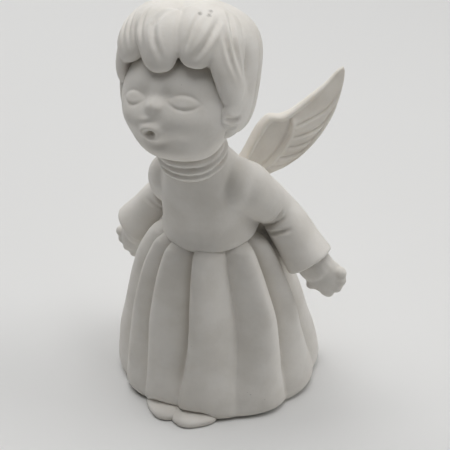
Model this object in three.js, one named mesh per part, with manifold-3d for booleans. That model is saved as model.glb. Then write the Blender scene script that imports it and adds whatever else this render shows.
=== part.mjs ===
// A small standing angel: a child in a long pleated dress, leaning forward with pursed lips, both arms held out
// behind and two feathered wings. It is an assembly of separate castings that locate in each other by spigots,
// pegs and sockets, and are glued.
//
// Millimetres. +Z is up, the figure faces -Y and its left hand is on the +X side. The origin is the middle of the
// underside, on the surface that the figure stands on.
import * as THREE from "three";
import { mergeVertices } from "three/addons/utils/BufferGeometryUtils.js";
import Module from "manifold-3d";

const wasm = await Module();
wasm.setup();

// Driving dimensions
const GAP = 0.3; // glue line between two castings
const WALL = 4.6; // thickness of the hollow skirt

const HEM_RADIUS = 31;
const SKIRT_TOP = 56; // where the skirt goes under the bodice
const FOLDS = [-90, -53, -29, 5, 42, 77, 106, 138, 170, 202, 234, 270]; // degrees from the front, to its left
const PLEAT_DEPTH = 3.2;
const BASE_RADIUS = 26.4;
const BASE_THICKNESS = 2;
const SPIGOT = { radius: 9, height: 8 }; // on top of the skirt, in the bodice

const WAIST = { y: -5.4, z: 54, radius: 14, lean: 7 };
const NECK = { y: -16.2, z: 80, radius: 8.2, lean: 20 };
const NECK_PEG = { radius: 5, length: 14 };

const COLLAR = { radius: 9.8, rolls: 3, rollRadius: 1.3, pitch: 2.1, taper: 0.5 };

const HEAD = { y: -19.4, z: 102.6, width: 35.4, depth: 33.6, height: 35.4 };
const HAIR = { y: -17.6, z: 107.8, radius: 18.6, lockRadius: 3.2 };
const NAPE = { y: -14.5, z: 99, width: 31, depth: 30, height: 24 };
const FRINGE_HEIGHT = 115;
const FACE_WIDTH = 29;

const SHOULDER = new THREE.Vector3(9.8, -8.4, 71);
const ELBOW = new THREE.Vector3(18.5, 2.2, 57.5);
const CUFF = new THREE.Vector3(28.4, 2.4, 42.9);
const FINGERTIPS = new THREE.Vector3(37, 6.5, 32.5);
const SLEEVE_RADIUS = 7;
const SHOULDER_PEG = { radius: 2.2, length: 14 };
const WRIST = { radius: 4, depth: 4 };

const WING = { angle: 45, rootTop: 72, rootBottom: 64.3, tip: 95.5, reach: 38.2, thickness: 2.4 };
const WING_PEG = { radius: 1.6, start: 2.6, length: 9, height: 68 };

const FOOT = { y: -27, width: 11.6, length: 15.6, height: 4.2, turn: 6 };
const FEET_MIDDLE = 1.4; // the feet stand a little to the figure's left

const degrees = THREE.MathUtils.degToRad;
const { clamp, lerp, smoothstep } = THREE.MathUtils;
const X_AXIS = new THREE.Vector3(1, 0, 0);
const Y_AXIS = new THREE.Vector3(0, 1, 0);

const resin = new THREE.MeshStandardMaterial({ color: 0xe4e2dc, roughness: 0.72, metalness: 0 });
const thinResin = new THREE.MeshStandardMaterial({ color: 0xe9e5da, roughness: 0.68, metalness: 0 });
const plug = new THREE.MeshStandardMaterial({ color: 0xd9d6cd, roughness: 0.85, metalness: 0 });

// Solids and meshes

function solidOf(geometry) {
  geometry.deleteAttribute("normal");
  geometry.deleteAttribute("uv");
  const merged = mergeVertices(geometry, 1e-4);
  const vertProperties = merged.getAttribute("position").array;
  const triVerts = new Uint32Array(merged.index.array);
  return new wasm.Manifold(new wasm.Mesh({ numProp: 3, vertProperties, triVerts }));
}

function joined(solids) {
  return solids.reduce((whole, solid) => whole.add(solid));
}

function part(name, solid, material) {
  const { vertProperties, triVerts } = solid.getMesh();
  const geometry = new THREE.BufferGeometry();
  geometry.setAttribute("position", new THREE.BufferAttribute(vertProperties, 3));
  geometry.setIndex(new THREE.BufferAttribute(triVerts, 1));
  const mesh = new THREE.Mesh(geometry, material);
  mesh.name = name;
  return mesh;
}

// Moves every vertex of a geometry to where place(point) puts it.
function reshaped(geometry, place) {
  const position = geometry.getAttribute("position");
  const point = new THREE.Vector3();
  for (let i = 0; i < position.count; i++) {
    place(point.fromBufferAttribute(position, i));
    position.setXYZ(i, point.x, point.y, point.z);
  }
  return geometry;
}

// Turned about +Z, from a profile of [radius, height] that runs upwards on its outside.
function turned(profile, sides) {
  const points = profile.map(([radius, height]) => new THREE.Vector2(radius, height));
  return new THREE.LatheGeometry(points, sides).rotateX(Math.PI / 2);
}

// A limb along a curve, from a profile of [radius, share of the curve's length]. axisAt says how each section lies.
function swept(curve, profile, sides, axisAt = (share) => curve.getTangentAt(share)) {
  return reshaped(turned(profile, sides), (point) => {
    const { x, y } = point;
    const share = clamp(point.z, 0, 1);
    const axis = axisAt(share);
    const across = X_AXIS.clone().addScaledVector(axis, -X_AXIS.dot(axis)).normalize();
    const back = new THREE.Vector3().crossVectors(axis, across);
    point.copy(curve.getPointAt(share)).addScaledVector(across, x).addScaledVector(back, y);
  });
}

function ellipsoid(width, depth, height, sides) {
  const geometry = new THREE.SphereGeometry(0.5, sides, sides / 2).rotateX(Math.PI / 2);
  return geometry.scale(width, depth, height);
}

// Lays a geometry that was made along +Y between two points.
function between(geometry, from, to) {
  const along = new THREE.Vector3().subVectors(to, from).normalize();
  const middle = new THREE.Vector3().addVectors(from, to).multiplyScalar(0.5);
  geometry.applyQuaternion(new THREE.Quaternion().setFromUnitVectors(Y_AXIS, along));
  return geometry.translate(middle.x, middle.y, middle.z);
}

function pin(from, to, radius, sides = 20) {
  return between(new THREE.CylinderGeometry(radius, radius, from.distanceTo(to), sides), from, to);
}

function finger(from, to, radius) {
  return between(new THREE.CapsuleGeometry(radius, from.distanceTo(to), 3, 8), from, to);
}

function mirrored(solid) {
  return solid.mirror([1, 0, 0]);
}

// Skirt, base plate and feet

// 1 on the crest of a pleat and 0 in the fold between two.
function pleatAt(x, y) {
  let angle = THREE.MathUtils.radToDeg(Math.atan2(x, -y));
  if (angle < FOLDS[0]) angle += 360;
  const next = FOLDS.findIndex((fold) => fold > angle);
  if (next < 1) return 0;
  return Math.sin((Math.PI * (angle - FOLDS[next - 1])) / (FOLDS[next] - FOLDS[next - 1])) ** 0.7;
}

// The solid bell of the skirt, pleated, with its top carried forward to the waist.
function bell(inset, bottom, top) {
  const outline = new THREE.SplineCurve([
    new THREE.Vector2(HEM_RADIUS, 0),
    new THREE.Vector2(HEM_RADIUS - 0.3, 8),
    new THREE.Vector2(HEM_RADIUS - 2.4, 16),
    new THREE.Vector2(HEM_RADIUS - 4.8, 26),
    new THREE.Vector2(HEM_RADIUS - 7.9, 36),
    new THREE.Vector2(HEM_RADIUS - 11.6, 46),
    new THREE.Vector2(HEM_RADIUS - 17.4, SKIRT_TOP),
  ]);
  const steps = 8;
  const side = outline.getPoints(steps).map(({ x, y }) => [x - inset, lerp(bottom, top, y / SKIRT_TOP)]);
  const geometry = turned([[0, bottom], ...side, [0, top]], 72);
  return reshaped(geometry, (point) => {
    const radius = Math.hypot(point.x, point.y);
    const depth = PLEAT_DEPTH * lerp(0.25, 1, smoothstep(point.z, 0, 14)) * (1 - smoothstep(point.z, 44, 60));
    const share = radius > 1 ? 1 - (depth * (1 - pleatAt(point.x, point.y))) / radius : 1;
    point.set(point.x * share, point.y * share + WAIST.y * smoothstep(point.z, 10, SKIRT_TOP), point.z);
  });
}

function skirtSpigot(grow) {
  const foot = new THREE.Vector3(0, WAIST.y, SKIRT_TOP - WALL);
  const top = new THREE.Vector3(0, WAIST.y, SKIRT_TOP + SPIGOT.height + grow);
  return solidOf(pin(foot, top, SPIGOT.radius + grow, 36));
}

function basePlate(grow) {
  const radius = BASE_RADIUS + grow;
  const top = BASE_THICKNESS + grow;
  return solidOf(turned([[0, -grow], [radius, -grow], [radius, top], [0, top]], 48));
}

// The rounded toe of one shoe, flat underneath. side is 1 on the figure's left and -1 on its right.
function toeCap(side, grow) {
  const { y, width, length, height, turn } = FOOT;
  const x = FEET_MIDDLE + side * (width / 2 + GAP);
  const toe = turned([[0, -grow], [1, -grow], [0.98, 0.3], [0.86, 0.62], [0.6, 0.87], [0.3, 0.97], [0, 1]], 20);
  toe.scale(width / 2 + grow, length / 2 + grow, height + grow);
  return solidOf(toe.rotateZ(degrees(side * turn)).translate(x, y, 0));
}

function foot(side) {
  return toeCap(side, 0).subtract(basePlate(GAP));
}

function skirt() {
  const toes = toeCap(1, GAP).add(toeCap(-1, GAP));
  const hollow = solidOf(bell(WALL, BASE_THICKNESS, SKIRT_TOP - 2 * WALL));
  return solidOf(bell(0, 0, SKIRT_TOP))
    .add(skirtSpigot(0))
    .subtract(hollow)
    .subtract(basePlate(GAP))
    .subtract(toes);
}

// Bodice and collar

const waist = new THREE.Vector3(0, WAIST.y, WAIST.z);
const neck = new THREE.Vector3(0, NECK.y, NECK.z);
const spine = new THREE.QuadraticBezierCurve3(waist, new THREE.Vector3(0, WAIST.y - 4, WAIST.z + 15), neck);
const leaning = (angle) => new THREE.Vector3(0, -Math.sin(degrees(angle)), Math.cos(degrees(angle)));
const neckAxis = leaning(NECK.lean);

function torso(grow) {
  const lip = WAIST.radius + grow;
  const profile = [
    [0, 0],
    [lip - 3, 0],
    [lip - 0.8, 0.03],
    [lip, 0.09],
    [lip + 0.1, 0.2],
    [lip - 0.5, 0.35],
    [lip - 1.4, 0.5],
    [lip - 2.6, 0.65],
    [lip - 4.2, 0.8],
    [lip - 5.8, 0.92],
    [NECK.radius + grow, 1],
    [0, 1],
  ];
  return solidOf(swept(spine, profile, 32, (share) => leaning(lerp(WAIST.lean, NECK.lean, share))));
}

function neckPeg(grow) {
  const from = neck.clone().addScaledVector(neckAxis, -2);
  const to = neck.clone().addScaledVector(neckAxis, NECK_PEG.length + grow);
  return solidOf(pin(from, to, NECK_PEG.radius + grow, 28));
}

const collarHeight = GAP + 2 * COLLAR.rollRadius + (COLLAR.rolls - 1) * COLLAR.pitch;

// The room that the collar takes in the underside of the head.
function collarSeat() {
  const top = neck.clone().addScaledVector(neckAxis, collarHeight + GAP);
  return solidOf(pin(neck, top, COLLAR.radius + GAP, 36));
}

function collar() {
  const bore = NECK_PEG.radius + GAP;
  const { radius, rolls, rollRadius, pitch, taper } = COLLAR;
  const profile = [[bore, GAP]];
  for (let roll = 0; roll < rolls; roll++) {
    for (const angle of [-50, -17, 17, 50].map(degrees)) {
      const middle = radius - rollRadius - roll * taper;
      const height = GAP + rollRadius + roll * pitch;
      profile.push([middle + rollRadius * Math.cos(angle), height + rollRadius * Math.sin(angle)]);
    }
  }
  profile.push([bore, collarHeight]);
  profile.push([bore, GAP]);
  const geometry = turned(profile, 30).rotateX(degrees(NECK.lean));
  return solidOf(geometry.translate(0, NECK.y, NECK.z));
}

// Arms

const arm = new THREE.CatmullRomCurve3([SHOULDER, ELBOW, CUFF]);

function sleeveTube(grow) {
  const radius = SLEEVE_RADIUS + grow;
  const profile = [
    [0, 0],
    [radius - 0.8, 0],
    [radius + 0.2, 0.14],
    [radius - 0.3, 0.3],
    [radius - 1.2, 0.5],
    [radius - 0.9, 0.7],
    [radius + 0.1, 0.97],
    [radius, 1],
    [0, 1],
  ];
  return solidOf(swept(arm, profile, 22));
}

function shoulderPeg(grow) {
  const axis = arm.getTangentAt(0);
  const from = SHOULDER.clone().addScaledVector(axis, -grow);
  const to = SHOULDER.clone().addScaledVector(axis, SHOULDER_PEG.length);
  return solidOf(pin(from, to, SHOULDER_PEG.radius + grow, 14));
}

const cuffAxis = arm.getTangentAt(1);

function cuffBore() {
  const from = CUFF.clone().addScaledVector(cuffAxis, -WRIST.depth);
  const to = CUFF.clone().addScaledVector(cuffAxis, 2);
  return solidOf(pin(from, to, WRIST.radius + GAP, 18));
}

function sleeve() {
  return sleeveTube(0).subtract(torso(GAP)).add(shoulderPeg(0)).subtract(cuffBore());
}

function hand() {
  const along = new THREE.Vector3().subVectors(FINGERTIPS, CUFF).normalize();
  const across = new THREE.Vector3(0.2, -0.9, -0.4);
  across.addScaledVector(along, -across.dot(along)).normalize();
  const at = (forward, sideways) =>
    CUFF.clone().addScaledVector(along, forward).addScaledVector(across, sideways);
  const reach = CUFF.distanceTo(FINGERTIPS);
  const wristEnd = CUFF.clone().addScaledVector(cuffAxis, GAP - WRIST.depth);
  const pieces = [
    pin(wristEnd, at(1, 0), WRIST.radius, 18),
    finger(at(1.2, 0), at(reach * 0.45, 0), WRIST.radius),
    finger(at(2.8, 3.2), at(5.4, 5.2), 1.6),
  ];
  [-3.6, -1.2, 1.2, 3.6].forEach((sideways, i) => {
    const length = reach - [4, 2.6, 2.4, 3.4][i];
    pieces.push(finger(at(reach * 0.3, sideways * 0.7), at(length, sideways), 1.5));
  });
  return joined(pieces.map(solidOf));
}

// Wings

// Drawn upright, x outwards from the spine and y upwards.
function wingBlade() {
  const { rootTop, rootBottom, tip, reach, thickness } = WING;
  const outline = new THREE.Shape();
  outline.moveTo(4, rootBottom + 4);
  outline.lineTo(4, rootTop - 2);
  outline.bezierCurveTo(7, rootTop + 4, 10, rootTop + 11, 15, rootTop + 12.3);
  outline.bezierCurveTo(22, rootTop + 11.5, 30, tip - 7, reach, tip);
  outline.bezierCurveTo(reach + 1, tip - 9, reach - 2, tip - 16, reach * 0.78, tip - 23);
  outline.bezierCurveTo(reach * 0.68, tip - 26.5, reach * 0.5, rootBottom + 1, 12, rootBottom);
  const settings = { depth: thickness / 2, bevelThickness: thickness / 4, bevelSize: 0.7, bevelOffset: -0.7 };
  return new THREE.ExtrudeGeometry(outline, { ...settings, bevelSegments: 1, curveSegments: 7 })
    .translate(0, 0, -thickness / 4)
    .rotateX(Math.PI / 2)
    .rotateZ(degrees(WING.angle));
}

function wingPeg(grow) {
  const out = new THREE.Vector3(Math.cos(degrees(WING.angle)), Math.sin(degrees(WING.angle)), 0);
  const { radius, start, length, height } = WING_PEG;
  const inside = new THREE.Vector3(0, 0, height).addScaledVector(out, start - grow);
  const outside = new THREE.Vector3(0, 0, height).addScaledVector(out, start + length);
  return solidOf(pin(inside, outside, radius + grow, 14));
}

// Head and hair

function headBall(grow) {
  const ball = ellipsoid(HEAD.width + 2 * grow, HEAD.depth + 2 * grow, HEAD.height + 2 * grow, 28);
  return solidOf(ball.translate(0, HEAD.y, HEAD.z));
}

// A point on the hair's surface: angle from the front towards the figure's left, and height angle.
function onHair(angle, rise, radius) {
  const out = radius * Math.cos(degrees(rise));
  const x = out * Math.sin(degrees(angle));
  const y = HAIR.y - out * Math.cos(degrees(angle));
  return new THREE.Vector3(x, y, HAIR.z + radius * Math.sin(degrees(rise)));
}

// One lock from the crown to where its tip lies.
function lock(angle, tipRise) {
  const points = [];
  for (const share of [0, 0.3, 0.6, 0.85, 1]) {
    points.push(onHair(angle, lerp(86, tipRise, share), HAIR.radius - 1.6));
  }
  const radius = HAIR.lockRadius;
  const profile = [[0, 0], [radius * 0.5, 0], [radius, 0.45], [radius * 1.05, 0.75], [radius * 0.7, 0.93], [0, 1]];
  return solidOf(swept(new THREE.CatmullRomCurve3(points), profile, 8));
}

function hair() {
  const size = 2 * HAIR.radius;
  const crown = solidOf(ellipsoid(size, size, size, 24).translate(0, HAIR.y, HAIR.z));
  const nape = solidOf(ellipsoid(NAPE.width, NAPE.depth, NAPE.height, 20).translate(0, NAPE.y, NAPE.z));
  const face = new THREE.BoxGeometry(FACE_WIDTH, 40, 60).translate(0, -44, FRINGE_HEIGHT - 30);
  const underSides = new THREE.BoxGeometry(60, 80, 40).rotateX(degrees(-31));
  underSides.translate(0, -28, 75);
  const locks = [];
  for (const [angle, rise] of [[-52, 22], [-28, 22], [-3, 22], [22, 26], [46, 14]]) locks.push(lock(angle, rise));
  for (const side of [-1, 1]) {
    for (const [angle, rise] of [[68, -10], [90, -26], [112, -38], [134, -48], [157, -56]]) {
      locks.push(lock(side * angle, rise));
    }
  }
  return crown
    .add(nape)
    .subtract(solidOf(face))
    .subtract(solidOf(underSides))
    .add(joined(locks))
    .subtract(headBall(GAP))
    .subtract(collarSeat());
}

// The assembly

const bodySockets = [shoulderPeg(GAP), mirrored(shoulderPeg(GAP)), wingPeg(GAP), mirrored(wingPeg(GAP))];
const bodice = torso(0).add(neckPeg(0)).subtract(skirtSpigot(GAP)).subtract(joined(bodySockets));
const skirtTop = solidOf(bell(-GAP, 0, SKIRT_TOP + GAP));
const hairCap = hair();
const wing = solidOf(wingBlade()).subtract(torso(GAP)).subtract(headBall(2)).add(wingPeg(0));

const angel = new THREE.Group();
angel.add(
  part("base_plate", basePlate(0), plug),
  part("skirt", skirt(), resin),
  part("foot_left", foot(1), resin),
  part("foot_right", foot(-1), resin),
  part("bodice", bodice.subtract(skirtTop), resin),
  part("collar", collar(), resin),
  part("sleeve_left", sleeve(), resin),
  part("sleeve_right", mirrored(sleeve()), resin),
  part("hand_left", hand(), resin),
  part("hand_right", mirrored(hand()), resin),
  part("wing_left", wing, thinResin),
  part("wing_right", mirrored(wing), thinResin),
  part("head", headBall(0).subtract(neckPeg(GAP)).subtract(collarSeat()), resin),
  part("hair", hairCap, resin),
);

export default angel;
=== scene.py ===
# A cast white angel: a child in a pleated dress, leaning forward with pursed lips, its arms held back and two
# feathered wings. The castings are modelled in millimetres and made metres when each piece is finished.
import math

import bmesh
import bpy
from mathutils import Matrix, Vector


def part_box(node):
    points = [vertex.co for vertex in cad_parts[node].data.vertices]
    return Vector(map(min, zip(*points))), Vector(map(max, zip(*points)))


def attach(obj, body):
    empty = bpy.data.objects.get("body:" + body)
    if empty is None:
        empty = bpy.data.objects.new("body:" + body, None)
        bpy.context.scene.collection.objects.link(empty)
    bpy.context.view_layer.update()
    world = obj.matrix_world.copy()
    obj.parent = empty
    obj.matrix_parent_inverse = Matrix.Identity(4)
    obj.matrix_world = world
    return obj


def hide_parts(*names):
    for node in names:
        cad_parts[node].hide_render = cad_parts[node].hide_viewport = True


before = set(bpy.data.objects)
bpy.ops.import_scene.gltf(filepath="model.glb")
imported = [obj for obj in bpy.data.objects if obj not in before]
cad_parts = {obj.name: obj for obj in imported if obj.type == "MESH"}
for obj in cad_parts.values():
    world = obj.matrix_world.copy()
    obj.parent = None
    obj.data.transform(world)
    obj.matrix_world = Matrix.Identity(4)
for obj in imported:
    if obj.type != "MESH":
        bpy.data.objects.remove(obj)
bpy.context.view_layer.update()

MM = 0.001
HEADING_STEP = 0.02
UP = Vector((0, 0, 1))
AXIS_X = Vector((1, 0, 0))


def node_centre(node):
    low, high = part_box(node)
    return (Vector(low) + Vector(high)) / (2 * MM)


# ---- Numbers ----

def blend(a, b, share):
    return a + (b - a) * share


def smooth(value, low, high):
    """0 below low, 1 above high, and a soft ramp between them."""
    share = min(max((value - low) / (high - low), 0), 1)
    return share * share * (3 - 2 * share)


def hump(across, up, width, height, power=1.0):
    """1 in the middle of an oval, falling softly to 0 outside it."""
    return math.exp(-(((across / width) ** 2 + (up / height) ** 2) ** power))


def along(stops, value):
    """Reads a smooth line through (place, value) stops."""
    if value <= stops[0][0]:
        return stops[0][1]
    for (low, first), (high, second) in zip(stops, stops[1:]):
        if value <= high:
            return blend(first, second, smooth(value, low, high))
    return stops[-1][1]


def straight(stops, value):
    """Reads a straight-sided line through (place, value) stops."""
    if value <= stops[0][0]:
        return stops[0][1]
    for (low, first), (high, second) in zip(stops, stops[1:]):
        if value <= high:
            return blend(first, second, (value - low) / (high - low))
    return stops[-1][1]


def curve_point(points, share):
    """A point on the smooth curve through a list of points, share from 0 to 1."""
    place = min(max(share, 0), 1) * (len(points) - 1)
    index = min(int(place), len(points) - 2)
    t = place - index
    before = points[max(index - 1, 0)]
    start, end = points[index], points[index + 1]
    after = points[min(index + 2, len(points) - 1)]
    tension = (2 * start) + (end - before) * t + (2 * before - 5 * start + 4 * end - after) * t * t
    return 0.5 * (tension + (3 * start - before - 3 * end + after) * t ** 3)


def curve_heading(points, share):
    """The direction in which the curve runs at a share of the way along it."""
    ahead, behind = min(share + HEADING_STEP, 1), max(share - HEADING_STEP, 0)
    return (curve_point(points, ahead) - curve_point(points, behind)).normalized()


# ---- Mesh work ----

WELD = 1e-4
LOOSE_WELD = 1e-3


def reshape(bm, place):
    """Moves each vertex to where place(point) says."""
    for vert in bm.verts:
        vert.co = place(vert.co.copy())


def soften(bm, verts, times=1, factor=0.5, keep_height=False):
    """Evens out the surface, as a wet finger does on clay."""
    for _ in range(times):
        bmesh.ops.smooth_vert(
            bm, verts=verts, factor=factor, use_axis_x=True, use_axis_y=True, use_axis_z=not keep_height
        )


def quad_ball(cuts):
    """A ball of radius 1 with even faces, from a divided cube."""
    bm = bmesh.new()
    bmesh.ops.create_cube(bm, size=2)
    bmesh.ops.subdivide_edges(bm, edges=bm.edges, cuts=cuts, use_grid_fill=True)
    even = math.pi / 4
    reshape(bm, lambda p: Vector([math.tan(c * even) for c in p]).normalized())
    return bm


def ball(centre, size, rings=20):
    """A ball or an ellipsoid, with its half sizes along X, Y and Z."""
    bm = bmesh.new()
    bmesh.ops.create_uvsphere(bm, u_segments=2 * rings, v_segments=rings, radius=1)
    bmesh.ops.scale(bm, vec=size, verts=bm.verts)
    bmesh.ops.translate(bm, vec=centre, verts=bm.verts)
    return bm


def drawn(points, width, depth, facing, rings=18, sides=14, fullness=3.0):
    """A closed form drawn out along a curve. width and depth are functions of the share along it, and
    facing(point) is the direction that its depth lies in."""
    bm = bmesh.new()
    bmesh.ops.create_uvsphere(bm, u_segments=sides, v_segments=rings, radius=1)

    def place(p):
        share = (p.z + 1) / 2
        here = curve_point(points, share)
        tangent = curve_heading(points, share)
        out = facing(here)
        out = (out - tangent * out.dot(tangent)).normalized()
        across = tangent.cross(out)
        round_end = math.sqrt(max(1 - abs(p.z) ** fullness, 0))
        flat = Vector((p.x, p.y))
        if flat.length > 1e-6:
            flat.normalize()
        return here + across * flat.x * width(share) * round_end + out * flat.y * depth(share) * round_end

    reshape(bm, place)
    bmesh.ops.remove_doubles(bm, verts=bm.verts, dist=WELD)
    bmesh.ops.recalc_face_normals(bm, faces=bm.faces)
    return bm


def fused(forms, voxel, smoothing):
    """Presses overlapping closed forms into one skin, and softens it as wet clay is."""
    mesh = bpy.data.meshes.new("clay")
    whole = bmesh.new()
    for form in forms:
        form.to_mesh(mesh)
        whole.from_mesh(mesh)
        form.free()
    whole.to_mesh(mesh)
    whole.free()
    clay = bpy.data.objects.new("clay", mesh)
    bpy.context.scene.collection.objects.link(clay)
    remesh = clay.modifiers.new("press", "REMESH")
    remesh.mode = "VOXEL"
    remesh.voxel_size = voxel
    pressed = bpy.data.meshes.new_from_object(clay.evaluated_get(bpy.context.evaluated_depsgraph_get()))
    bpy.data.objects.remove(clay)
    bm = bmesh.new()
    bm.from_mesh(pressed)
    bpy.data.meshes.remove(pressed)
    bpy.data.meshes.remove(mesh)
    soften(bm, bm.verts, smoothing)
    return bm


def mirrored(bm):
    """The same form on the figure's other side."""
    other = bm.copy()
    bmesh.ops.scale(other, vec=(-1, 1, 1), verts=other.verts)
    bmesh.ops.reverse_faces(other, faces=other.faces)
    return other


def cut(bm, point, normal, keep_cap=True):
    """Takes away what lies on the normal's side of a plane, and closes the cut."""
    everything = bm.verts[:] + bm.edges[:] + bm.faces[:]
    result = bmesh.ops.bisect_plane(bm, geom=everything, plane_co=point, plane_no=normal, clear_outer=True)
    if keep_cap:
        rim = [item for item in result["geom_cut"] if isinstance(item, bmesh.types.BMEdge)]
        bmesh.ops.triangle_fill(bm, use_beauty=True, use_dissolve=False, edges=rim)
        for edge in rim:
            edge.smooth = False


def groove(bm, stroke, width, depth):
    """Presses a groove along a stroke, with a soft raised edge on both sides. A negative depth raises a ridge."""
    bm.normal_update()
    moves = []
    middle = sum(stroke, Vector()) / len(stroke)
    limit = max((point - middle).length for point in stroke) + 4 * width
    count = len(stroke) - 1
    for vert in bm.verts:
        if (vert.co - middle).length > limit:
            continue
        closest, ends = None, 1
        for index in range(count):
            start, end = stroke[index], stroke[index + 1]
            span = end - start
            t = min(max((vert.co - start).dot(span) / span.length_squared, 0), 1)
            distance = (vert.co - start - span * t).length
            if closest is None or distance < closest:
                closest = distance
                place = (index + t) / count
                ends = smooth(place, -0.02, 0.35) * smooth(1 - place, -0.02, 0.45)
        side = closest / width
        push = -depth * ends * (math.exp(-side * side) - 0.3 * math.exp(-((side - 1.9) / 0.8) ** 2))
        moves.append((vert, vert.normal * push))
    for vert, move in moves:
        vert.co += move


def turned(profile, steps):
    """Spins a profile of (radius, height) points about +Z. Its ends lie on the axis, so the form is closed."""
    bm = bmesh.new()
    verts = [bm.verts.new((radius, 0, height)) for radius, height in profile]
    edges = [bm.edges.new(pair) for pair in zip(verts, verts[1:])]
    bmesh.ops.spin(
        bm, geom=verts + edges, cent=(0, 0, 0), axis=(0, 0, 1), angle=2 * math.pi, steps=steps, use_merge=True
    )
    bmesh.ops.remove_doubles(bm, verts=bm.verts, dist=WELD)
    bmesh.ops.recalc_face_normals(bm, faces=bm.faces)
    return bm


def limb(points, profile, steps):
    """A turned form whose heights are shares of the way along a curve, bent to lie along it."""
    bm = turned(profile, steps)

    def place(p):
        share = min(max(p.z, 0), 1)
        here = curve_point(points, share)
        tangent = curve_heading(points, share)
        across = (AXIS_X - tangent * AXIS_X.dot(tangent)).normalized()
        return here + across * p.x + tangent.cross(across) * p.y

    reshape(bm, place)
    return bm


def finished(name, bm, finish, slot, *nodes):
    """Makes the piece, in metres, and lets it stand for its castings."""
    bmesh.ops.scale(bm, vec=(MM, MM, MM), verts=bm.verts)
    for face in bm.faces:
        face.smooth = True
    mesh = bpy.data.meshes.new(name)
    bm.to_mesh(mesh)
    bm.free()
    mesh.materials.append(finish)
    piece = bpy.data.objects.new(name, mesh)
    bpy.context.scene.collection.objects.link(piece)
    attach(piece, "root")
    if nodes:
        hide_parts(*nodes)
    return piece


# ---- Skirt and shoes ----

# The skirt's outline as (radius, height), from the hem to the waist
SKIRT_SIDE = [
    (29.2, 0.0), (30.6, 1.5), (31.1, 3.8), (30.6, 8.0), (29.4, 14.0), (27.8, 20.0), (26.0, 28.0), (23.6, 36.0),
    (20.9, 44.0), (17.8, 49.8), (15.9, 51.4), (13.6, 52.6), (11.2, 53.6), (9.0, 56.0),
]
# Where the folds between the pleats lie, in degrees from the front, at the waist and at the hem; how deep each one
# is; and where the crest of the pleat after it lies, as a share of its width
FOLDS = [
    (-90, -86, 0.9, 0.5), (-53, -46, 1.2, 0.4), (-30, -23, 1.5, 0.27), (5, 1, 1.85, 0.17), (43, 35, 1.5, 0.62),
    (79, 69, 1.6, 0.5), (106, 104, 1.1, 0.5), (138, 138, 1.2, 0.4), (170, 170, 1.1, 0.6), (202, 202, 1.1, 0.4),
    (234, 234, 1.2, 0.6), (270, 274, 0.9, 0.5),
]
# How deep a fold of the usual depth is, by height
FOLD_DEPTH = [(0, 0.8), (5, 1.9), (14, 3.3), (26, 4.1), (44, 3.9), (50, 2.8), (54, 0.9)]
WAIST_Y = -5.2
WAIST_HEIGHT = 55
HEM_WALL = 2.4
HEM_TURN = 0.35
PLEAT_ROUNDNESS, PLEAT_FULLNESS = 1.75, 0.7
# Where the whole skirt swells or falls in: by how much, its place in degrees and height, and its reach in both
SWELLS = [(1.0, -66, 17, 24, 9), (1.1, -80, 38, 26, 14), (-0.9, 95, 16, 30, 14)]
HEM_WAVE = 0.3
HEM_LIFT = 2.3


def fold_depth(angle, height):
    """How far the cloth lies in from the crest of its pleat: 0 on the crest, 1 in a fold of the usual depth."""
    low = 1 - smooth(height, 3, 32)
    folds = [(blend(waist, hem, low), deep, crest) for waist, hem, deep, crest in FOLDS]
    turn = folds[0][0] + (angle - folds[0][0]) % 360
    for (start, deep, crest), (end, next_deep, _) in zip(folds, folds[1:]):
        if start <= turn < end:
            share = (turn - start) / (end - start)
            even = share ** (math.log(0.5) / math.log(crest))
            return (1 - (1 - abs(2 * even - 1) ** PLEAT_ROUNDNESS) ** PLEAT_FULLNESS) * blend(deep, next_deep, share)
    return 0


def hem_lift(angle):
    """The hem rides up over the two shoes."""
    return HEM_LIFT * smooth(angle, -25, -12) * (1 - smooth(angle, 14, 25))


def skirt_form():
    outer_rows, inner_rows, columns = 84, 18, 352
    side = [Vector((radius, height, 0)) for radius, height in SKIRT_SIDE]
    outer = [curve_point(side, 1 - row / outer_rows) for row in range(outer_rows + 1)]
    inner = [curve_point(side, 0.85 * row / inner_rows) for row in range(inner_rows + 1)]
    top = SKIRT_SIDE[-1][1]
    profile = [(0, top)] + [(p.x, p.y) for p in outer]
    profile += [(outer[-1].x - 0.25, -HEM_TURN), (outer[-1].x - HEM_WALL + 0.3, -HEM_TURN)]
    profile += [(p.x - HEM_WALL, p.y) for p in inner]
    profile += [(0, inner[-1].y)]
    bm = turned(profile, columns)

    def place(p):
        radius = math.hypot(p.x, p.y)
        if radius < 1:
            return p + Vector((0, WAIST_Y * smooth(p.z, 8, WAIST_HEIGHT), 0))
        angle = math.degrees(math.atan2(p.x, -p.y))
        height = max(p.z, 0)
        grown = radius - along(FOLD_DEPTH, height) * fold_depth(angle, height)
        for amount, at, level, across, tall in SWELLS:
            grown += amount * hump(angle - at, height - level, across, tall)
        grown += HEM_WAVE * math.sin(math.radians(3 * angle + 40)) * (1 - smooth(height, 4, 22))
        share = grown / radius
        lift = hem_lift(angle) * (1 - smooth(height, 0, 14))
        shift = WAIST_Y * smooth(height, 8, WAIST_HEIGHT)
        return Vector((p.x * share, p.y * share + shift, max(p.z + HEM_TURN, 0.02) + lift))

    reshape(bm, place)
    soften(bm, bm.verts, 2, keep_height=True)
    return bm


# Each shoe: where it lies across and forward, and its half sizes
SHOES = {1: (3.9, -27.2, 7.6, 6.8), -1: (-3.4, -26.6, 7.3, 6.8)}
SHOE_HEIGHT = 3.5
SHOE_SOLE = 1.1
SHOE_SPLIT = 0.2
SHOE_BACK = -25.4
SHOE_SQUARENESS, SHOE_FLATNESS = 0.05, 0.85


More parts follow.
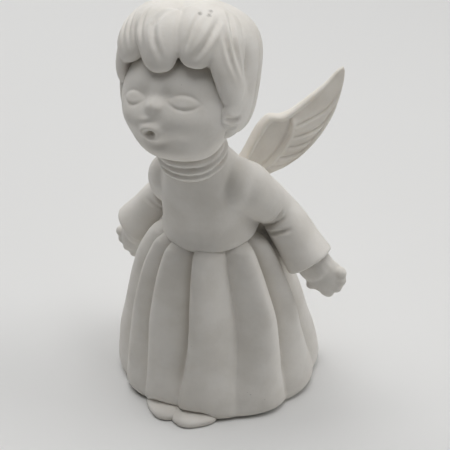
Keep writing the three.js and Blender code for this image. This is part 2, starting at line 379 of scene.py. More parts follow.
def shoe_form(side):
    across, forward, half_width, half_length = SHOES[side]
    bm = ball((0, 0, 0), (1, 1, 1), rings=30)

    def place(p):
        squarer = 1 + SHOE_SQUARENESS * math.cos(4 * math.atan2(p.y, p.x))
        flatter = math.copysign(abs(p.z) ** SHOE_FLATNESS, p.z)
        return Vector((
            across + p.x * half_width * squarer, forward + p.y * half_length * squarer,
            SHOE_SOLE + flatter * (SHOE_HEIGHT - SHOE_SOLE)
        ))

    reshape(bm, place)
    cut(bm, Vector((0, 0, 0.05)), Vector((0, 0, -1)))
    cut(bm, Vector((0, SHOE_BACK, 0)), Vector((0, 1, 0)))
    cut(bm, Vector((SHOE_SPLIT, 0, 0)), Vector((-side, 0, 0)))
    return bm


# ---- Bodice and sleeves ----

SPINE = [
    Vector((0, -5.6, 52.7)), Vector((0, -6.6, 60)), Vector((0, -9.0, 68)), Vector((0, -12.6, 75)),
    Vector((0, -16.4, 82)),
]
# Each arm: shoulder, elbow and cuff. The figure's right arm hangs a little lower.
ARMS = {
    1: [Vector((9.9, -8.6, 71.7)), Vector((14.0, -3.6, 65.4)), Vector((18.2, 2.6, 57.4)), Vector((28.4, 2.6, 43.5))],
    -1: [Vector((-9.7, -8.9, 70.2)), Vector((-13.3, -3.9, 64.2)), Vector((-17.4, 2.8, 56.5)),
         Vector((-28.4, 1.6, 41.9))],
}
ARM_RADIUS = [(0, 6.9), (0.16, 7.4), (0.4, 6.5), (0.62, 5.8), (0.8, 6.5), (1, 7.3)]
SEAM_POINT = Vector((12.2, 0, 68))
SEAM_NORMAL = Vector((0.98, 0, 0.196))
# The creases at an elbow: share along the arm and degrees round it from the body's side, for the start and the end,
# and then the width and depth
CREASES = [
    (0.50, 150, 0.62, 48, 0.62, 1.15), (0.62, 140, 0.66, 30, 0.7, 1.5), (0.76, 132, 0.71, 36, 0.6, 1.0),
]


BODICE_LIP = 14.1
SHOULDER_SIZE = (7.4, 7.8, 7.6)
ARMPIT_REACH = 9
CREASE_STEPS = 6
ARMPIT_SOFTENING = 14
RIGHT_CREASE_SHARE = 0.4
BODY_VOXEL = 0.42


def torso_form():
    lip = BODICE_LIP
    profile = [(0, 0), (lip - 3, 0.005), (lip - 1.2, 0.01), (lip - 0.3, 0.03), (lip, 0.065)]
    profile += [(lip - 0.15, 0.12), (lip - 0.5, 0.2), (lip - 0.8, 0.3), (lip - 1.0, 0.45), (lip - 1.7, 0.6)]
    profile += [(lip - 3.3, 0.76), (lip - 5.2, 0.9), (7.4, 1), (0, 1)]
    return limb(SPINE, profile, 80)


def sleeve_form(side):
    rows = 26
    cuff = ARM_RADIUS[-1][1]
    profile = [(0, 0)]
    profile += [(along(ARM_RADIUS, row / rows), row / rows) for row in range(1, rows)]
    profile += [(cuff, 0.985), (cuff - 0.3, 1), (cuff - 1.1, 1), (cuff - 1.5, 0.97), (cuff - 1.9, 0.9), (0, 0.9)]
    return limb(ARMS[side], profile, 48)


def shoulder_form(side):
    return ball((9.2 * side, -9.2, 70.6 + 0.6 * side), SHOULDER_SIZE, rings=18)


def on_sleeve(side, share, turn):
    """A point on a sleeve: share along the arm, and degrees round it from the body's side to its front."""
    arm = ARMS[side]
    here = curve_point(arm, share)
    axis = curve_heading(arm, share)
    inward = Vector((-side, 0, -0.6))
    inward = (inward - axis * inward.dot(axis)).normalized()
    front = axis.cross(inward) * side
    if front.y > 0:
        front.negate()
    angle = math.radians(turn)
    return here + (inward * math.cos(angle) + front * math.sin(angle)) * along(ARM_RADIUS, share)


def body_form():
    sides = (1, -1)
    arms = [sleeve_form(side) for side in sides] + [shoulder_form(side) for side in sides]
    body = fused([torso_form()] + arms, BODY_VOXEL, 6)
    for side in sides:
        armpit = Vector((11.0 * side, -8, 67))
        near = [vert for vert in body.verts if (vert.co - armpit).length < ARMPIT_REACH]
        soften(body, near, ARMPIT_SOFTENING)
        for start, start_turn, end, end_turn, width, depth in CREASES:
            stroke = [
                on_sleeve(side, blend(start, end, share), blend(start_turn, end_turn, share))
                for share in [index / CREASE_STEPS for index in range(CREASE_STEPS + 1)]
            ]
            groove(body, stroke, width, depth if side > 0 else RIGHT_CREASE_SHARE * depth)
    return body


# ---- Collar ----

# Each roll's radius and height
COLLAR_ROLLS = [(9.5, 2.6), (9.9, 0.4), (9.8, -2.0)]
ROLL_RADIUS = 1.25
ROLL_FLATNESS = 1.5
COLLAR_VOXEL = 0.3
COLLAR_LEAN = Matrix.Rotation(math.radians(17), 3, "X")


def collar_form():
    """Three soft rolls of a turned-down collar, one above another."""
    middle = node_centre("collar")
    rolls = []
    for index, (radius, height) in enumerate(COLLAR_ROLLS):
        bm = bmesh.new()
        ring = bmesh.ops.create_circle(bm, segments=20, radius=ROLL_RADIUS)["verts"]
        bmesh.ops.rotate(bm, cent=(0, 0, 0), matrix=Matrix.Rotation(math.pi / 2, 3, "X"), verts=ring)
        bmesh.ops.scale(bm, vec=(ROLL_FLATNESS, 1, 1), verts=ring)
        bmesh.ops.translate(bm, vec=(radius - ROLL_RADIUS * ROLL_FLATNESS, 0, height), verts=ring)
        bmesh.ops.spin(
            bm, geom=bm.verts[:] + bm.edges[:], cent=(0, 0, 0), axis=(0, 0, 1), angle=2 * math.pi, steps=120,
            use_merge=True,
        )
        bmesh.ops.remove_doubles(bm, verts=bm.verts, dist=LOOSE_WELD)

        def place(p, turn=index):
            angle = math.atan2(p.y, p.x)
            wave = 0.22 * math.sin(3 * angle + 2.1 * turn) + 0.12 * math.sin(5 * angle + 1.3 + turn)
            share = 1 + 0.018 * math.sin(2 * angle + turn)
            return middle + COLLAR_LEAN @ Vector((p.x * share, p.y * share, p.z + wave))

        reshape(bm, place)
        bmesh.ops.recalc_face_normals(bm, faces=bm.faces)
        rolls.append(bm)
    neck = turned([(0, -4.4), (8.3, -4.4), (8.3, 5), (0, 5)], 64)
    reshape(neck, lambda p: middle + COLLAR_LEAN @ p)
    return fused(rolls + [neck], COLLAR_VOXEL, 2)


# ---- Head ----

FACE = Vector((0, -20, 101))
FACE_RADIUS = 17.3
UNDER_HAIR = 2.2
FAR_OFF = 99
TILT = (
    Matrix.Rotation(math.radians(-4), 3, "Z")
    @ Matrix.Rotation(math.radians(-18), 3, "X")
    @ Matrix.Rotation(math.radians(-4.7), 3, "Y")
)


def bearing(turn, rise):
    """A direction from the middle of the head: degrees round from the face's front, and degrees up."""
    turn, rise = math.radians(turn), math.radians(rise)
    return Vector((math.sin(turn) * math.cos(rise), -math.cos(turn) * math.cos(rise), math.sin(rise)))


class Spot:
    """A place on the face, from which other places are measured in millimetres across and up."""

    def __init__(self, turn, rise, roll=0):
        self.out = bearing(turn, rise)
        across = Vector((math.cos(math.radians(turn)), math.sin(math.radians(turn)), 0))
        up = self.out.cross(across)
        turned_by = math.radians(roll)
        self.across = across * math.cos(turned_by) + up * math.sin(turned_by)
        self.up = up * math.cos(turned_by) - across * math.sin(turned_by)

    def measure(self, direction):
        if direction.dot(self.out) < 0.3:
            return FAR_OFF, FAR_OFF
        return direction.dot(self.across) * FACE_RADIUS, direction.dot(self.up) * FACE_RADIUS


EYES = [Spot(26, 2.6, -2), Spot(-27, 0.8, 3)]
EYE_CORNERS = [Spot(8, 7.5), Spot(-12, 6)]
LID = (3.7, 1.85)
LID_HEIGHT = 0.6
LID_BOW = 0.075
NOSE = Spot(0.5, -1.5)
MOUTH = Spot(-2.0, -25, 13)
LIPS = (2.35, 1.75, 1.9)
LIP_HEIGHT, LIP_WIDTH = 1.1, 0.5
OPENING = (1.4, 0.62)
OPENING_DEPTH = 1.9
# The soft relief of the face: where each swelling or hollow is, how many millimetres across and up from there, how
# high it stands, its half width and half height, and how square its sides are
RELIEF = [
    (Spot(-2, -22), 0, 0, 1.1, 4.4, 4.6, 1),
    (MOUTH, 0, 2.75, -0.22, 2.3, 0.45, 1),
    (MOUTH, 0, 3.6, 0.4, 2.1, 0.6, 1),
    (MOUTH, 0, -4.2, -0.4, 2.8, 1.1, 1),
    (NOSE, 0, -0.2, 1.6, 1.95, 1.9, 1.15),
    (NOSE, 0, 3.4, 0.7, 1.6, 3.2, 1),
    (NOSE, 1.8, -0.4, 0.22, 0.9, 0.9, 1),
    (NOSE, -1.8, -0.4, 0.22, 0.9, 0.9, 1),
    (NOSE, 0, -3.3, -0.2, 2.0, 0.9, 1),
    (Spot(-4, -46), 0, 0, 0.7, 4.4, 3.4, 1),
    (Spot(0, 26), 0, 0, 0.4, 11, 6, 1),
]
for side in (1, -1):
    RELIEF += [
        (Spot(side * 26, -17), 0, 0, 1.4, 6.4, 4.8, 1),
        (Spot(side * 22, -35), 0, 0, -0.55, 6.0, 3.4, 1),
        (Spot(side * 27, -52), 0, 0, 0.8, 7.0, 5.0, 1),
    ]
RELIEF += [(eye, 0, 0.6, -0.95, 5.6, 3.6, 1) for eye in EYES]
RELIEF += [(corner, 0, 0, -0.8, 2.5, 2.0, 1) for corner in EYE_CORNERS]


def lid_height(eye, direction):
    """A closed, rounded lid, with a thin line over and under it."""
    across, up = eye.measure(direction)
    oval = (across / LID[0]) ** 2 + (up / LID[1]) ** 2
    bow = 1.9 - LID_BOW * across * across
    height = LID_HEIGHT * (1 - smooth(oval, 0.0, 1.3))
    height -= 0.28 * hump(across * 0.9, up + bow, 3.3, 0.42)
    height -= 0.18 * hump(across * 0.9, up - bow, 3.1, 0.5)
    return height


def lip_height(direction):
    """Pursed lips round a small opening."""
    across, up = MOUTH.measure(direction)
    lips = math.hypot(across / LIPS[0], up / LIPS[1 if up > 0 else 2])
    opening = math.hypot(across / OPENING[0], up / OPENING[1])
    ring = LIP_HEIGHT * math.exp(-((lips - 0.95) / LIP_WIDTH) ** 2)
    return ring - OPENING_DEPTH * (1 - smooth(opening, 0.35, 1.25))


def face_height(direction):
    """How far the face stands above or below the ball of the head."""
    height = lip_height(direction) + sum(lid_height(eye, direction) for eye in EYES)
    for spot, right, above, rise, width, tall, power in RELIEF:
        across, up = spot.measure(direction)
        height += rise * hump(across - right, up - above, width, tall, power)
    return height


def head_form():
    bm = quad_ball(110)

    def place(direction):
        under_hair = UNDER_HAIR * smooth(direction.y, -0.42, 0.15) * smooth(direction.z, -0.95, -0.6)
        radius = FACE_RADIUS + face_height(direction) - under_hair
        return FACE + TILT @ (direction * radius)

    reshape(bm, place)
    soften(bm, bm.verts)
    bmesh.ops.recalc_face_normals(bm, faces=bm.faces)
    return bm


# ---- Hair ----

HAIR = Vector((0, -18, 107.5))
CROWN = (112, 76)
# How far the hair stands out from the middle of the head, by degrees up
HAIR_RADIUS = [
    (-60, 21.2), (-42, 21.5), (-30, 20.5), (-18, 19.3), (0, 18.9), (12, 19.4), (22, 20.4), (32, 21.5), (42, 22.0),
    (60, 21.7), (90, 21.4),
]
# Each lock: its half width, how far it stands out, and the places that it passes through, ending at its tip
FRINGE = [
    (6.4, 0.1, [(-84, 52), (-58, 38), (-43, 24), (-34, 11)]),
    (5.5, 0.5, [(-20, 56), (-11, 42), (-2, 24), (2, 4)]),
    (5.4, 0.3, [(50, 58), (39, 45), (34, 30), (32, 10.5)]),
]
SIDES = [
    (4.6, 1.1, [(70, 60), (63, 38), (61, 17), (66, -1), (75, -24)]),
    (4.6, 0.9, [(-82, 60), (-71, 38), (-66, 17), (-66, 2), (-72, -15)]),
]
LOCK_STEPS = 18
FRINGE_DEPTH, SIDE_DEPTH, BACK_DEPTH, CURL_DEPTH = 3.0, 2.6, 2.2, 1.8
BACK_WIDTH = 3.3
CAP_INSET, CAP_FRONT_INSET = 1.2, 3.0
HAIR_VOXEL = 0.34
BACK_LOCKS = [-84, -98, -112] + list(range(92, 240, 14))
SIDE_CURLS = [
    (4.2, -0.7, [(84, 8), (80, -14), (75, -33), (70, -44)]),
    (3.6, -0.2, [(96, 8), (91, -20), (86, -40), (80, -52)]),
    (4.2, -0.3, [(-84, 8), (-80, -14), (-75, -33), (-70, -44)]),
    (3.6, -0.2, [(-96, 8), (-91, -20), (-86, -40), (-80, -52)]),
]
# Each combed line: its width, its depth and the places that it passes through
COMBED = [
    (0.7, 0.55, [(-84, 50), (-62, 38), (-48, 27), (-40, 16)]),
    (0.6, 0.45, [(-66, 50), (-46, 38), (-35, 26), (-29, 15)]),
    (0.75, 0.65, [(2, 56), (-7.5, 41), (-4, 30), (2, 20), (7, 12)]),
    (0.7, 0.55, [(-30, 52), (-24, 40), (-15, 27), (-7, 14)]),
    (0.8, 0.75, [(58, 50), (43, 33), (35, 22), (29, 14)]),
    (0.65, 0.55, [(40, 56), (30, 43), (25, 29), (22, 18)]),
    (0.7, 0.75, [(76, 58), (67, 45), (63.5, 29), (67, 14), (75, 2)]),
    (0.7, 0.65, [(62, 48), (57, 35), (59, 19), (65, 5), (73, -8)]),
    (0.55, 0.45, [(84, 50), (76, 30), (75, 12), (82, -8)]),
    (0.55, 0.35, [(-98, 50), (-78, 26), (-74, 8), (-78, -8)]),
    (0.75, 1.2, [(62, -28), (71, -30.5), (82, -28)]),
    (0.55, 0.6, [(66, -36), (74, -37), (82, -35)]),
]
FINE_LINES = [-91, -105] + list(range(99, 240, 14))


def hair_out(point):
    return (point - HAIR).normalized()


def hair_radius(rise):
    """The radius at an angle up, evened out over a few degrees so that the hair has no steps."""
    nearby = (-9, -6, -3, 0, 3, 6, 9)
    return sum(straight(HAIR_RADIUS, rise + away) for away in nearby) / len(nearby)


def strand_form(stops, width, depth, tuck, lift=0.0, start=CROWN, fullness=5.0):
    """One lock of hair through its stops. Its tip is tucked in towards the head."""
    line = [bearing(*stop) for stop in ([start] if start else []) + stops]
    path = []
    for index in range(LOCK_STEPS + 1):
        share = index / LOCK_STEPS
        direction = curve_point(line, share).normalized()
        rise = math.degrees(math.asin(direction.z))
        radius = hair_radius(rise) - depth - tuck * smooth(share, 0.85, 1) - 0.5 * (1 - smooth(share, 0, 0.3))
        path.append(HAIR + TILT @ (direction * (radius + lift * smooth(share, 0.4, 0.8))))
    slim = [(0, 0.5), (0.3, 1.2), (0.55, 1.15), (0.8, 1.0), (1, 0.85)]
    return drawn(
        path, lambda share: width * along(slim, share), lambda share: depth * along([(0, 0.7), (0.4, 1)], share),
        hair_out, rings=44, sides=28, fullness=fullness,
    )


def cap_form():
    bm = quad_ball(40)

    def place(direction):
        rise = math.degrees(math.asin(max(min(direction.z, 1), -1)))
        fringe = smooth(-direction.y, 0.1, 0.5) * (1 - smooth(rise, 38, 72))
        return HAIR + TILT @ (direction * (hair_radius(rise) - CAP_INSET - CAP_FRONT_INSET * fringe))

    reshape(bm, place)
    slope = Vector((0, 1.1, 1)).normalized()
    cut(bm, HAIR - TILT @ slope * 5.0, TILT @ -slope)
    cut(bm, HAIR - TILT @ UP * 17.4, TILT @ -UP)
    return bm


def combed_line(stops):
    line = [bearing(*stop) for stop in stops]
    samples = 9
    stroke = []
    for index in range(samples + 1):
        direction = curve_point(line, index / samples).normalized()
        rise = math.degrees(math.asin(direction.z))
        stroke.append(HAIR + TILT @ (direction * hair_radius(rise)))
    return stroke


def hair_form():
    forms = [cap_form()]
    forms += [strand_form(stops, width, FRINGE_DEPTH, 0.3, lift) for width, lift, stops in FRINGE]
    forms += [strand_form(stops, width, SIDE_DEPTH, 0.3, lift) for width, lift, stops in SIDES]
    for turn in BACK_LOCKS:
        stops = [(turn, 50), (turn, 25), (turn, 0), (turn, -25), (turn, -50)]
        forms.append(strand_form(stops, BACK_WIDTH, BACK_DEPTH, 0.2, fullness=9.0))
    forms += [strand_form(stops, width, CURL_DEPTH, 0.2, lift, None) for width, lift, stops in SIDE_CURLS]
    hair = fused(forms, HAIR_VOXEL, 3)
    for width, depth, stops in COMBED:
        groove(hair, combed_line(stops), width, depth)
    for turn in FINE_LINES:
        groove(hair, combed_line([(turn, 40), (turn, 15), (turn, -12), (turn, -38)]), 0.5, 0.25)
    return hair


# ---- Hands ----

PALM = Vector((31.9, 5.0, 38.3))
ALONG_HAND = Vector((0.737, 0.25, -0.63))
HAND_BACK = Vector((0.354, -0.935, 0.044))
ACROSS_HAND = HAND_BACK.cross(ALONG_HAND)
FINGERS = [
    (3.5, Vector((37.6, 6.5, 39.6))), (1.2, Vector((37.9, 6.5, 36.9))), (-1.1, Vector((36.7, 6.2, 34.2))),
    (-3.2, Vector((34.2, 5.6, 32.3))),
]
THUMB = [Vector((30.4, 4.2, 37.4)), Vector((28.9, 3.4, 35.6)), Vector((28.2, 3.2, 33.8))]
RIGHT_HAND_SHIFT = Vector((0.3, -1.0, -1.4))
RIGHT_WRIST = Vector((-28.4, 2.6, 42.5))
RIGHT_HAND_TURN = Matrix.Rotation(math.radians(-15), 3, "Y")


FINGER_WIDTH, FINGER_DEPTH = 1.85, 2.0
THUMB_WIDTH, THUMB_DEPTH = 1.7, 1.6
PALM_SIZE = (6.8, 5.4, 3.5)
HAND_VOXEL = 0.26


def hand_form():
    palm = ball((0, 0, 0), PALM_SIZE, rings=16)
    frame_of_hand = Matrix((ALONG_HAND, ACROSS_HAND, HAND_BACK)).transposed()
    reshape(palm, lambda p: PALM + frame_of_hand @ p)
    wrist = drawn(
        [Vector((27.2, 2.6, 45.2)), Vector((29.4, 3.9, 41.6)), PALM], lambda share: 5.3, lambda share: 4.2,
        lambda point: HAND_BACK, rings=12,
    )
    forms = [palm, wrist]
    for offset, tip in FINGERS:
        root = PALM + ALONG_HAND * 1.2 + ACROSS_HAND * offset
        bent = blend(root, tip, 0.55) + HAND_BACK * 0.7
        forms.append(drawn(
            [root, bent, tip - HAND_BACK * 0.3], lambda share: FINGER_WIDTH, lambda share: FINGER_DEPTH,
            lambda point: HAND_BACK, rings=14, sides=12,
        ))
    forms.append(drawn(
        THUMB, lambda share: THUMB_WIDTH, lambda share: THUMB_DEPTH, lambda point: HAND_BACK, rings=14, sides=12,
    ))
    return fused(forms, HAND_VOXEL, 9)


# ---- Wings ----
# Outlines as (distance out from the back, height), from the root to the tip

WING_TOP = [
    (2.6, 69.8), (5, 71.2), (7, 73.3), (10.8, 80), (12.6, 82.5), (15, 84.4), (18.5, 83.8), (21.6, 84.6), (24.6, 86.1),
    (28, 88.2), (32.3, 91), (36.2, 94.5), (38.2, 95.4),
]
WING_FOOT = [
    (2.6, 66.5), (5.5, 64.8), (9, 64), (13, 64.3), (17, 65.2), (20.7, 66.3), (24.4, 68.1), (27.5, 70.4), (30.5, 73.3),
    (33.4, 77), (36.2, 82.3), (38.2, 89.5), (38.7, 93.8),
]
QUILLS = [
    [(22.5, 79.4), (25.4, 79.9), (30.2, 81.6), (33.5, 83.4), (36.8, 87.5)],
    [(21.8, 76.2), (25, 75.9), (29.6, 77.0), (32.6, 79.0), (35.2, 82.8)],
    [(20.2, 73.2), (23.4, 72.7), (27.4, 73.4), (30.4, 75.4), (32.6, 78.0)],
    [(17.4, 70.4), (20.5, 70.0), (24, 70.3), (27, 71.8), (29.2, 74.0)],
    [(14.4, 68.0), (17.5, 67.3), (20.4, 67.3), (23, 68.2), (25.2, 69.8)],
]
COVERT_RIM = [(22.2, 82.4), (21.8, 79.6), (21.0, 76.9), (19.1, 73.6), (16.4, 70.4), (13.5, 68.0), (9.5, 65.8)]
WING_THICKNESS = 0.95
QUILL_DEPTH, QUILL_WIDTH = 0.5, 0.42
COVERT_HEIGHT = 0.62
WING_BEND = 0.8
WING_EDGE = 0.04


def flat_curve(stops, samples):
    points = [Vector((place, height, 0)) for place, height in stops]
    return [curve_point(points, index / samples) for index in range(samples + 1)]


def nearest(stroke, point):
    """The distance from a point to a stroke, the share of the way along it, and which side the point is on."""
    best = (1e9, 0, 1)
    count = len(stroke) - 1
    for index in range(count):
        start, end = stroke[index], stroke[index + 1]
        span = end - start
        reach = point - start
        t = min(max(reach.dot(span) / span.length_squared, 0), 1)
        distance = (reach - span * t).length
        if distance < best[0]:
            best = (distance, (index + t) / count, 1 if span.x * reach.y - span.y * reach.x > 0 else -1)
    return best


quills = [flat_curve(quill, 10) for quill in QUILLS]
covert_rim = flat_curve(COVERT_RIM, 14)


def wing_relief(point, share, from_top, from_foot):
    thick = WING_THICKNESS * along([(0, 1.25), (0.3, 1.0), (1, 0.62)], share)
    height = thick * math.sqrt(min(from_foot / 1.1 + 0.05, 1))
    for quill in quills:
        distance, place, side = nearest(quill, point)
        fade = smooth(place, 0, 0.12) * (1 - 0.6 * smooth(place, 0.75, 1))
        height -= QUILL_DEPTH * fade * math.exp(-(distance / QUILL_WIDTH) ** 2)
        height += 0.16 * fade * math.exp(-((distance - 1.0) / 0.6) ** 2) * (1 if side < 0 else 0.3)
    distance, place, side = nearest(covert_rim, point)
    if side > 0 or place < 0.02:
        height += COVERT_HEIGHT * math.exp(-(distance / 3.4) ** 2) * smooth(place, 0.0, 0.15)
        height += 0.3 * math.exp(-((distance - 0.5) / 0.5) ** 2) * smooth(place, 0.0, 0.15)
        height -= 0.35 * math.exp(-((from_top - 4.6) / 0.9) ** 2) * smooth(place, 0.05, 0.4)
    else:
        height += COVERT_HEIGHT * math.exp(-(distance / 0.25) ** 2)
        height -= 0.3 * math.exp(-((distance - 0.7) / 0.5) ** 2)
    roll = along([(0, 1.9), (0.25, 1.85), (0.45, 1.35), (0.7, 0.95), (0.9, 0.6), (1, 0.35)], share)
    inside = roll * roll - (from_top - roll) ** 2
    tube = 1.2 * math.sqrt(inside) if inside > 0 else 0
    return max(height * min(from_top / 0.6 + 0.1, 1), tube, 0.05)


def wing_form():
    """The left wing: a flat blade with a rolled front edge, one broad covert and fanned feathers."""
    length_cuts, width_cuts = 132, 56
    bm = bmesh.new()
    bmesh.ops.create_grid(bm, x_segments=length_cuts, y_segments=width_cuts, size=1)
    doubled = bmesh.ops.extrude_face_region(bm, geom=bm.faces[:], use_keep_orig=True)["geom"]
    bmesh.ops.translate(bm, vec=(0, 0, 1), verts=[item for item in doubled if isinstance(item, bmesh.types.BMVert)])
    top = [Vector((place, height, 0)) for place, height in WING_TOP]
    foot = [Vector((place, height, 0)) for place, height in WING_FOOT]
    known = {}

    def place(p):
        share, across = (p.x + 1) / 2, (p.y + 1) / 2
        key = (round(share * length_cuts), round(across * width_cuts))
        if key not in known:
            high, low = curve_point(top, share), curve_point(foot, share)
            width = (low - high).length
            spread = blend(across, smooth(across, 0, 1), 0.3)
            point = high.lerp(low, spread)
            known[key] = (point, wing_relief(point, share, spread * width, (1 - spread) * width))
        point, relief = known[key]
        edge = share < 0.001 or share > 0.999 or across < 0.001 or across > 0.999
        side = 1 if p.z > 0.5 else -1
        out = side * (WING_EDGE if edge else relief) - WING_BEND * share * share
        flat = math.sqrt(0.5)
        return Vector((0.5 + (point.x + out) * flat, -0.5 + (point.x - out) * flat, point.y))

    reshape(bm, place)
    bmesh.ops.remove_doubles(bm, verts=bm.verts, dist=0.02)
    bmesh.ops.recalc_face_normals(bm, faces=bm.faces)
    soften(bm, bm.verts, factor=0.4)
    return bm


# ---- Finishes ----

class Value:
    """A socket that can be added to, multiplied and so on, as a number is."""

    def __init__(self, finish, socket):
        self.finish, self.socket = finish, socket

    def maths(self, operation, first, second):
        node = self.finish.node("ShaderNodeMath", {"operation": operation}, {0: first, 1: second})
        return Value(self.finish, node.outputs[0])

    def __add__(self, other):
        return self.maths("ADD", self, other)

    def __radd__(self, other):
        return self.maths("ADD", other, self)

    def __sub__(self, other):
        return self.maths("SUBTRACT", self, other)

    def __rsub__(self, other):
        return self.maths("SUBTRACT", other, self)

    def __mul__(self, other):
        return self.maths("MULTIPLY", self, other)

    def __rmul__(self, other):
        return self.maths("MULTIPLY", other, self)


class Finish:
    """A material, and short ways to add nodes to it."""

    def __init__(self, name):
        self.material = bpy.data.materials.new(name)
        self.material.use_nodes = True
        self.tree = self.material.node_tree
        self.shader = self.tree.nodes["Principled BSDF"]
        self.place = self.node("ShaderNodeTexCoord").outputs["Object"]

    def node(self, kind, settings=None, values=None):
        node = self.tree.nodes.new(kind)
        for name, setting in (settings or {}).items():
            setattr(node, name, setting)
        for name, value in (values or {}).items():
            self.join(value, node.inputs[name])
        return node

    def join(self, value, socket):
        if isinstance(value, Value):
            value = value.socket
        if isinstance(value, bpy.types.NodeSocket):
            self.tree.links.new(value, socket)
        else:
            socket.default_value = value

    def set(self, name, value):
        self.join(value, self.shader.inputs[name])

    def grain(self, scale, detail=3.0, roughness=0.55):
        """Cloudy noise, with a scale in grains per metre."""
        values = {"Vector": self.place, "Scale": scale, "Detail": detail, "Roughness": roughness}
        return Value(self, self.node("ShaderNodeTexNoise", {}, values).outputs["Fac"])

    def ramp(self, value, low, high):
        """0 where value is below low, 1 where it is above high."""
        values = {"Value": value, "From Min": low, "From Max": high}
        settings = {"interpolation_type": "SMOOTHSTEP"}
        return Value(self, self.node("ShaderNodeMapRange", settings, values).outputs["Result"])

    def hollow(self, distance):
        """0 on open surfaces, nearer 1 deep in folds and joints."""
        values = {"Distance": distance}
        shade = self.node("ShaderNodeAmbientOcclusion", {"samples": 8, "only_local": False}, values)
        return 1 - Value(self, shade.outputs["AO"])

    def near(self, point):
        """The distance from a point, in metres."""
        values = {0: self.place, 1: point}
        return Value(self, self.node("ShaderNodeVectorMath", {"operation": "DISTANCE"}, values).outputs["Value"])

    def mix(self, share, first, second):
        node = self.node("ShaderNodeMix", {"data_type": "RGBA"}, {0: share, 6: first, 7: second})
        return node.outputs[2]

    def bump(self, height, distance, strength=1.0, under=None):
        values = {"Height": height, "Distance": distance, "Strength": strength}
        if under is not None:
            values["Normal"] = under
        return self.node("ShaderNodeBump", {}, values).outputs["Normal"]


def colour(red, green, blue):
    return (red, green, blue, 1)


def cast_resin(name, body, clouding_and_shade_tint, glow, glow_scale, speck_share, roughness, chips=()):
    """Unpolished white casting: faint clouding, a powdery grain, painted shade darkening the hollows and a few dark
    specks.
    """
    finish = Finish(name)
    clouds = finish.ramp(finish.grain(95, 4), 0.35, 0.7)
    fine = finish.grain(5200, 2, 0.6)
    swell = finish.grain(260, 2)
    tone = finish.mix(clouds * 0.35, body, clouding_and_shade_tint)
    # Painted shade: where the surface is shut in, in folds, creases and joints, the colour is darkened towards the
    # shade grey.
    painted_crease_shade = finish.ramp(finish.hollow(0.004), 0.25, 0.95)
    tone = finish.mix(painted_crease_shade * 0.55, tone, clouding_and_shade_tint)
    specks = finish.ramp(finish.grain(1500, 1, 0.3), 1 - speck_share, 1 - speck_share + 0.03)
    patchy = finish.ramp(finish.grain(60, 1), 0.6, 0.68)
    tone = finish.mix(specks * patchy * 0.3, tone, SPECK)
    for chip in chips:
        ragged = finish.ramp(finish.near(chip) + 0.0014 * finish.grain(1100, 2, 0.7), CHIP_REACH, 0.5 * CHIP_REACH)
        tone = finish.mix(ragged * 0.55, tone, SPECK)
    finish.set("Base Color", tone)
    finish.set("Roughness", roughness + 0.1 * fine + 0.05 * clouds)
    finish.set("Specular IOR Level", 0.35)
    finish.set("Subsurface Weight", glow)
    finish.set("Subsurface Radius", (1.0, 0.9, 0.75))
    finish.set("Subsurface Scale", glow_scale)
    soft = finish.bump(swell, 0.00012)
    finish.set("Normal", finish.bump(fine, 0.00003, 0.8, soft))
    return finish.material


SPECK = colour(0.16, 0.14, 0.12)
CHIP_REACH = 0.0017
CROWN_CHIPS = [Vector(place) * MM for place in ((6.1, -23.7, 127.8), (7.9, -21.2, 127.7), (8.3, -22.9, 127.2))]
# A grey used for two things: the random clouding tints towards it, and the painted shade in hollows and creases
# darkens towards it.
CLOUDING_AND_SHADE_GREY = colour(0.58, 0.545, 0.485)
WARM_WHITE = colour(0.79, 0.762, 0.715)
matt_resin = cast_resin("matt_resin", WARM_WHITE, CLOUDING_AND_SHADE_GREY, 0.12, 0.0012, 0.22, 0.62)
# Painted light: the wings are cast in the same white as the body. Their base colour is painted lighter than the
# body's to stand in for the light that falls on them.
thin_resin = cast_resin("thin_resin", colour(0.82, 0.785, 0.725), colour(0.58, 0.53, 0.46), 0.2, 0.0015, 0.22, 0.6)
closing_plate = cast_resin("closing_plate", colour(0.74, 0.71, 0.665), CLOUDING_AND_SHADE_GREY, 0.1, 0.001, 0.22, 0.72)


chipped_resin = cast_resin("chipped_resin", WARM_WHITE, CLOUDING_AND_SHADE_GREY, 0.12, 0.0012, 0.22, 0.62, CROWN_CHIPS)


def paper():
    finish = Finish("paper")
    clouds = finish.ramp(finish.grain(6, 3), 0.35, 0.7)
    tone = finish.mix(clouds * 0.25, colour(0.755, 0.752, 0.742), colour(0.735, 0.73, 0.718))
    finish.set("Base Color", tone)
    finish.set("Roughness", 0.85)
    finish.set("Normal", finish.bump(finish.grain(1800, 3), 0.00002))
    return finish.material


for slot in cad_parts["base_plate"].material_slots:
    slot.material = closing_plate

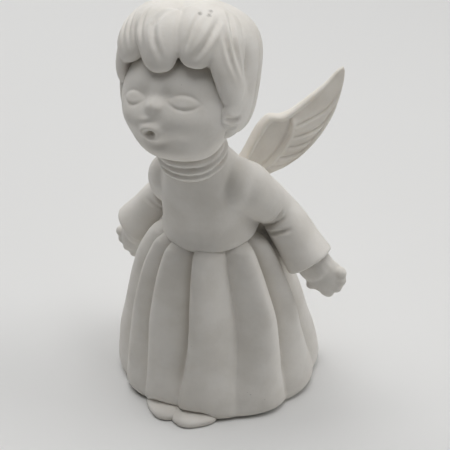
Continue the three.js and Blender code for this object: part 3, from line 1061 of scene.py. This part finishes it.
finished("pleated_skirt", skirt_form(), matt_resin, "matt_resin", "skirt")
finished("shoe_left", shoe_form(1), matt_resin, "matt_resin", "foot_left")
finished("shoe_right", shoe_form(-1), matt_resin, "matt_resin", "foot_right")
body = body_form()
left_body = body.copy()
right_body = body.copy()
for side, part in ((1, left_body), (-1, right_body)):
    normal = Vector((SEAM_NORMAL.x * side, SEAM_NORMAL.y, SEAM_NORMAL.z))
    point = Vector((SEAM_POINT.x * side, SEAM_POINT.y, SEAM_POINT.z))
    cut(body, point, normal)
    cut(part, point, -normal)
hand = hand_form()
right_hand = mirrored(hand)
bmesh.ops.rotate(right_hand, cent=RIGHT_WRIST, matrix=RIGHT_HAND_TURN, verts=right_hand.verts)
bmesh.ops.translate(right_hand, vec=RIGHT_HAND_SHIFT, verts=right_hand.verts)
wing = wing_form()
right_wing = mirrored(wing)
for name, form, finish, slot_name, node in (
    ("dress_bodice", body, matt_resin, "matt_resin", "bodice"),
    ("dress_sleeve_left", left_body, matt_resin, "matt_resin", "sleeve_left"),
    ("dress_sleeve_right", right_body, matt_resin, "matt_resin", "sleeve_right"),
    ("rolled_collar", collar_form(), matt_resin, "matt_resin", "collar"),
    ("smooth_head", head_form(), matt_resin, "matt_resin", "head"),
    ("combed_hair", hair_form(), chipped_resin, "matt_resin", "hair"),
    ("small_hand_right", right_hand, matt_resin, "matt_resin", "hand_right"),
    ("small_hand_left", hand, matt_resin, "matt_resin", "hand_left"),
    ("feathered_wing_right", right_wing, thin_resin, "thin_resin", "wing_right"),
    ("feathered_wing_left", wing, thin_resin, "thin_resin", "wing_left"),
):
    finished(name, form, finish, slot_name, node)

# ---- Stage ----

FLOOR_SIZE = 3
MIDDLE = (0, 0, 0.06)

floor_form = bmesh.new()
bmesh.ops.create_grid(floor_form, x_segments=1, y_segments=1, size=FLOOR_SIZE)
floor_mesh = bpy.data.meshes.new("floor")
floor_form.to_mesh(floor_mesh)
floor_form.free()
floor = bpy.data.objects.new("floor", floor_mesh)
bpy.context.scene.collection.objects.link(floor)
floor_mesh.materials.append(paper())


def soft_light(name, place, target, size, power):
    lamp = bpy.data.lights.new(name, "AREA")
    lamp.size = size
    lamp.energy = power
    light = bpy.data.objects.new(name, lamp)
    light.location = place
    light.rotation_euler = (Vector(target) - Vector(place)).to_track_quat("-Z", "Y").to_euler()
    bpy.context.scene.collection.objects.link(light)


soft_light("overhead", (-0.03, 0.03, 0.92), MIDDLE, 0.85, 7.5)
soft_light("left_wall", (-0.8, 0.5, 0.4), MIDDLE, 0.7, 2.5)
soft_light("right_wall", (0.85, 0.5, 0.45), MIDDLE, 0.7, 3.0)

world = bpy.data.worlds.new("room")
bpy.context.scene.world = world
world.use_nodes = True
background = world.node_tree.nodes["Background"]
background.inputs["Color"].default_value = (0.9, 0.92, 0.95, 1)
background.inputs["Strength"].default_value = 0.05

AZIMUTH, ELEVATION, DISTANCE = math.radians(25), math.radians(31), 0.45
AIM = Vector((0.002, 0, 0.0505))
camera_data = bpy.data.cameras.new("camera")
camera_data.sensor_width = 36
camera_data.lens = 122.16
camera = bpy.data.objects.new("camera", camera_data)
back = Vector((
    math.sin(AZIMUTH) * math.cos(ELEVATION), -math.cos(AZIMUTH) * math.cos(ELEVATION), math.sin(ELEVATION)
))
camera.location = AIM + back * DISTANCE
camera.rotation_euler = back.to_track_quat("Z", "Y").to_euler()
bpy.context.scene.collection.objects.link(camera)
bpy.context.scene.camera = camera
bpy.context.scene.view_settings.view_transform = "Standard"
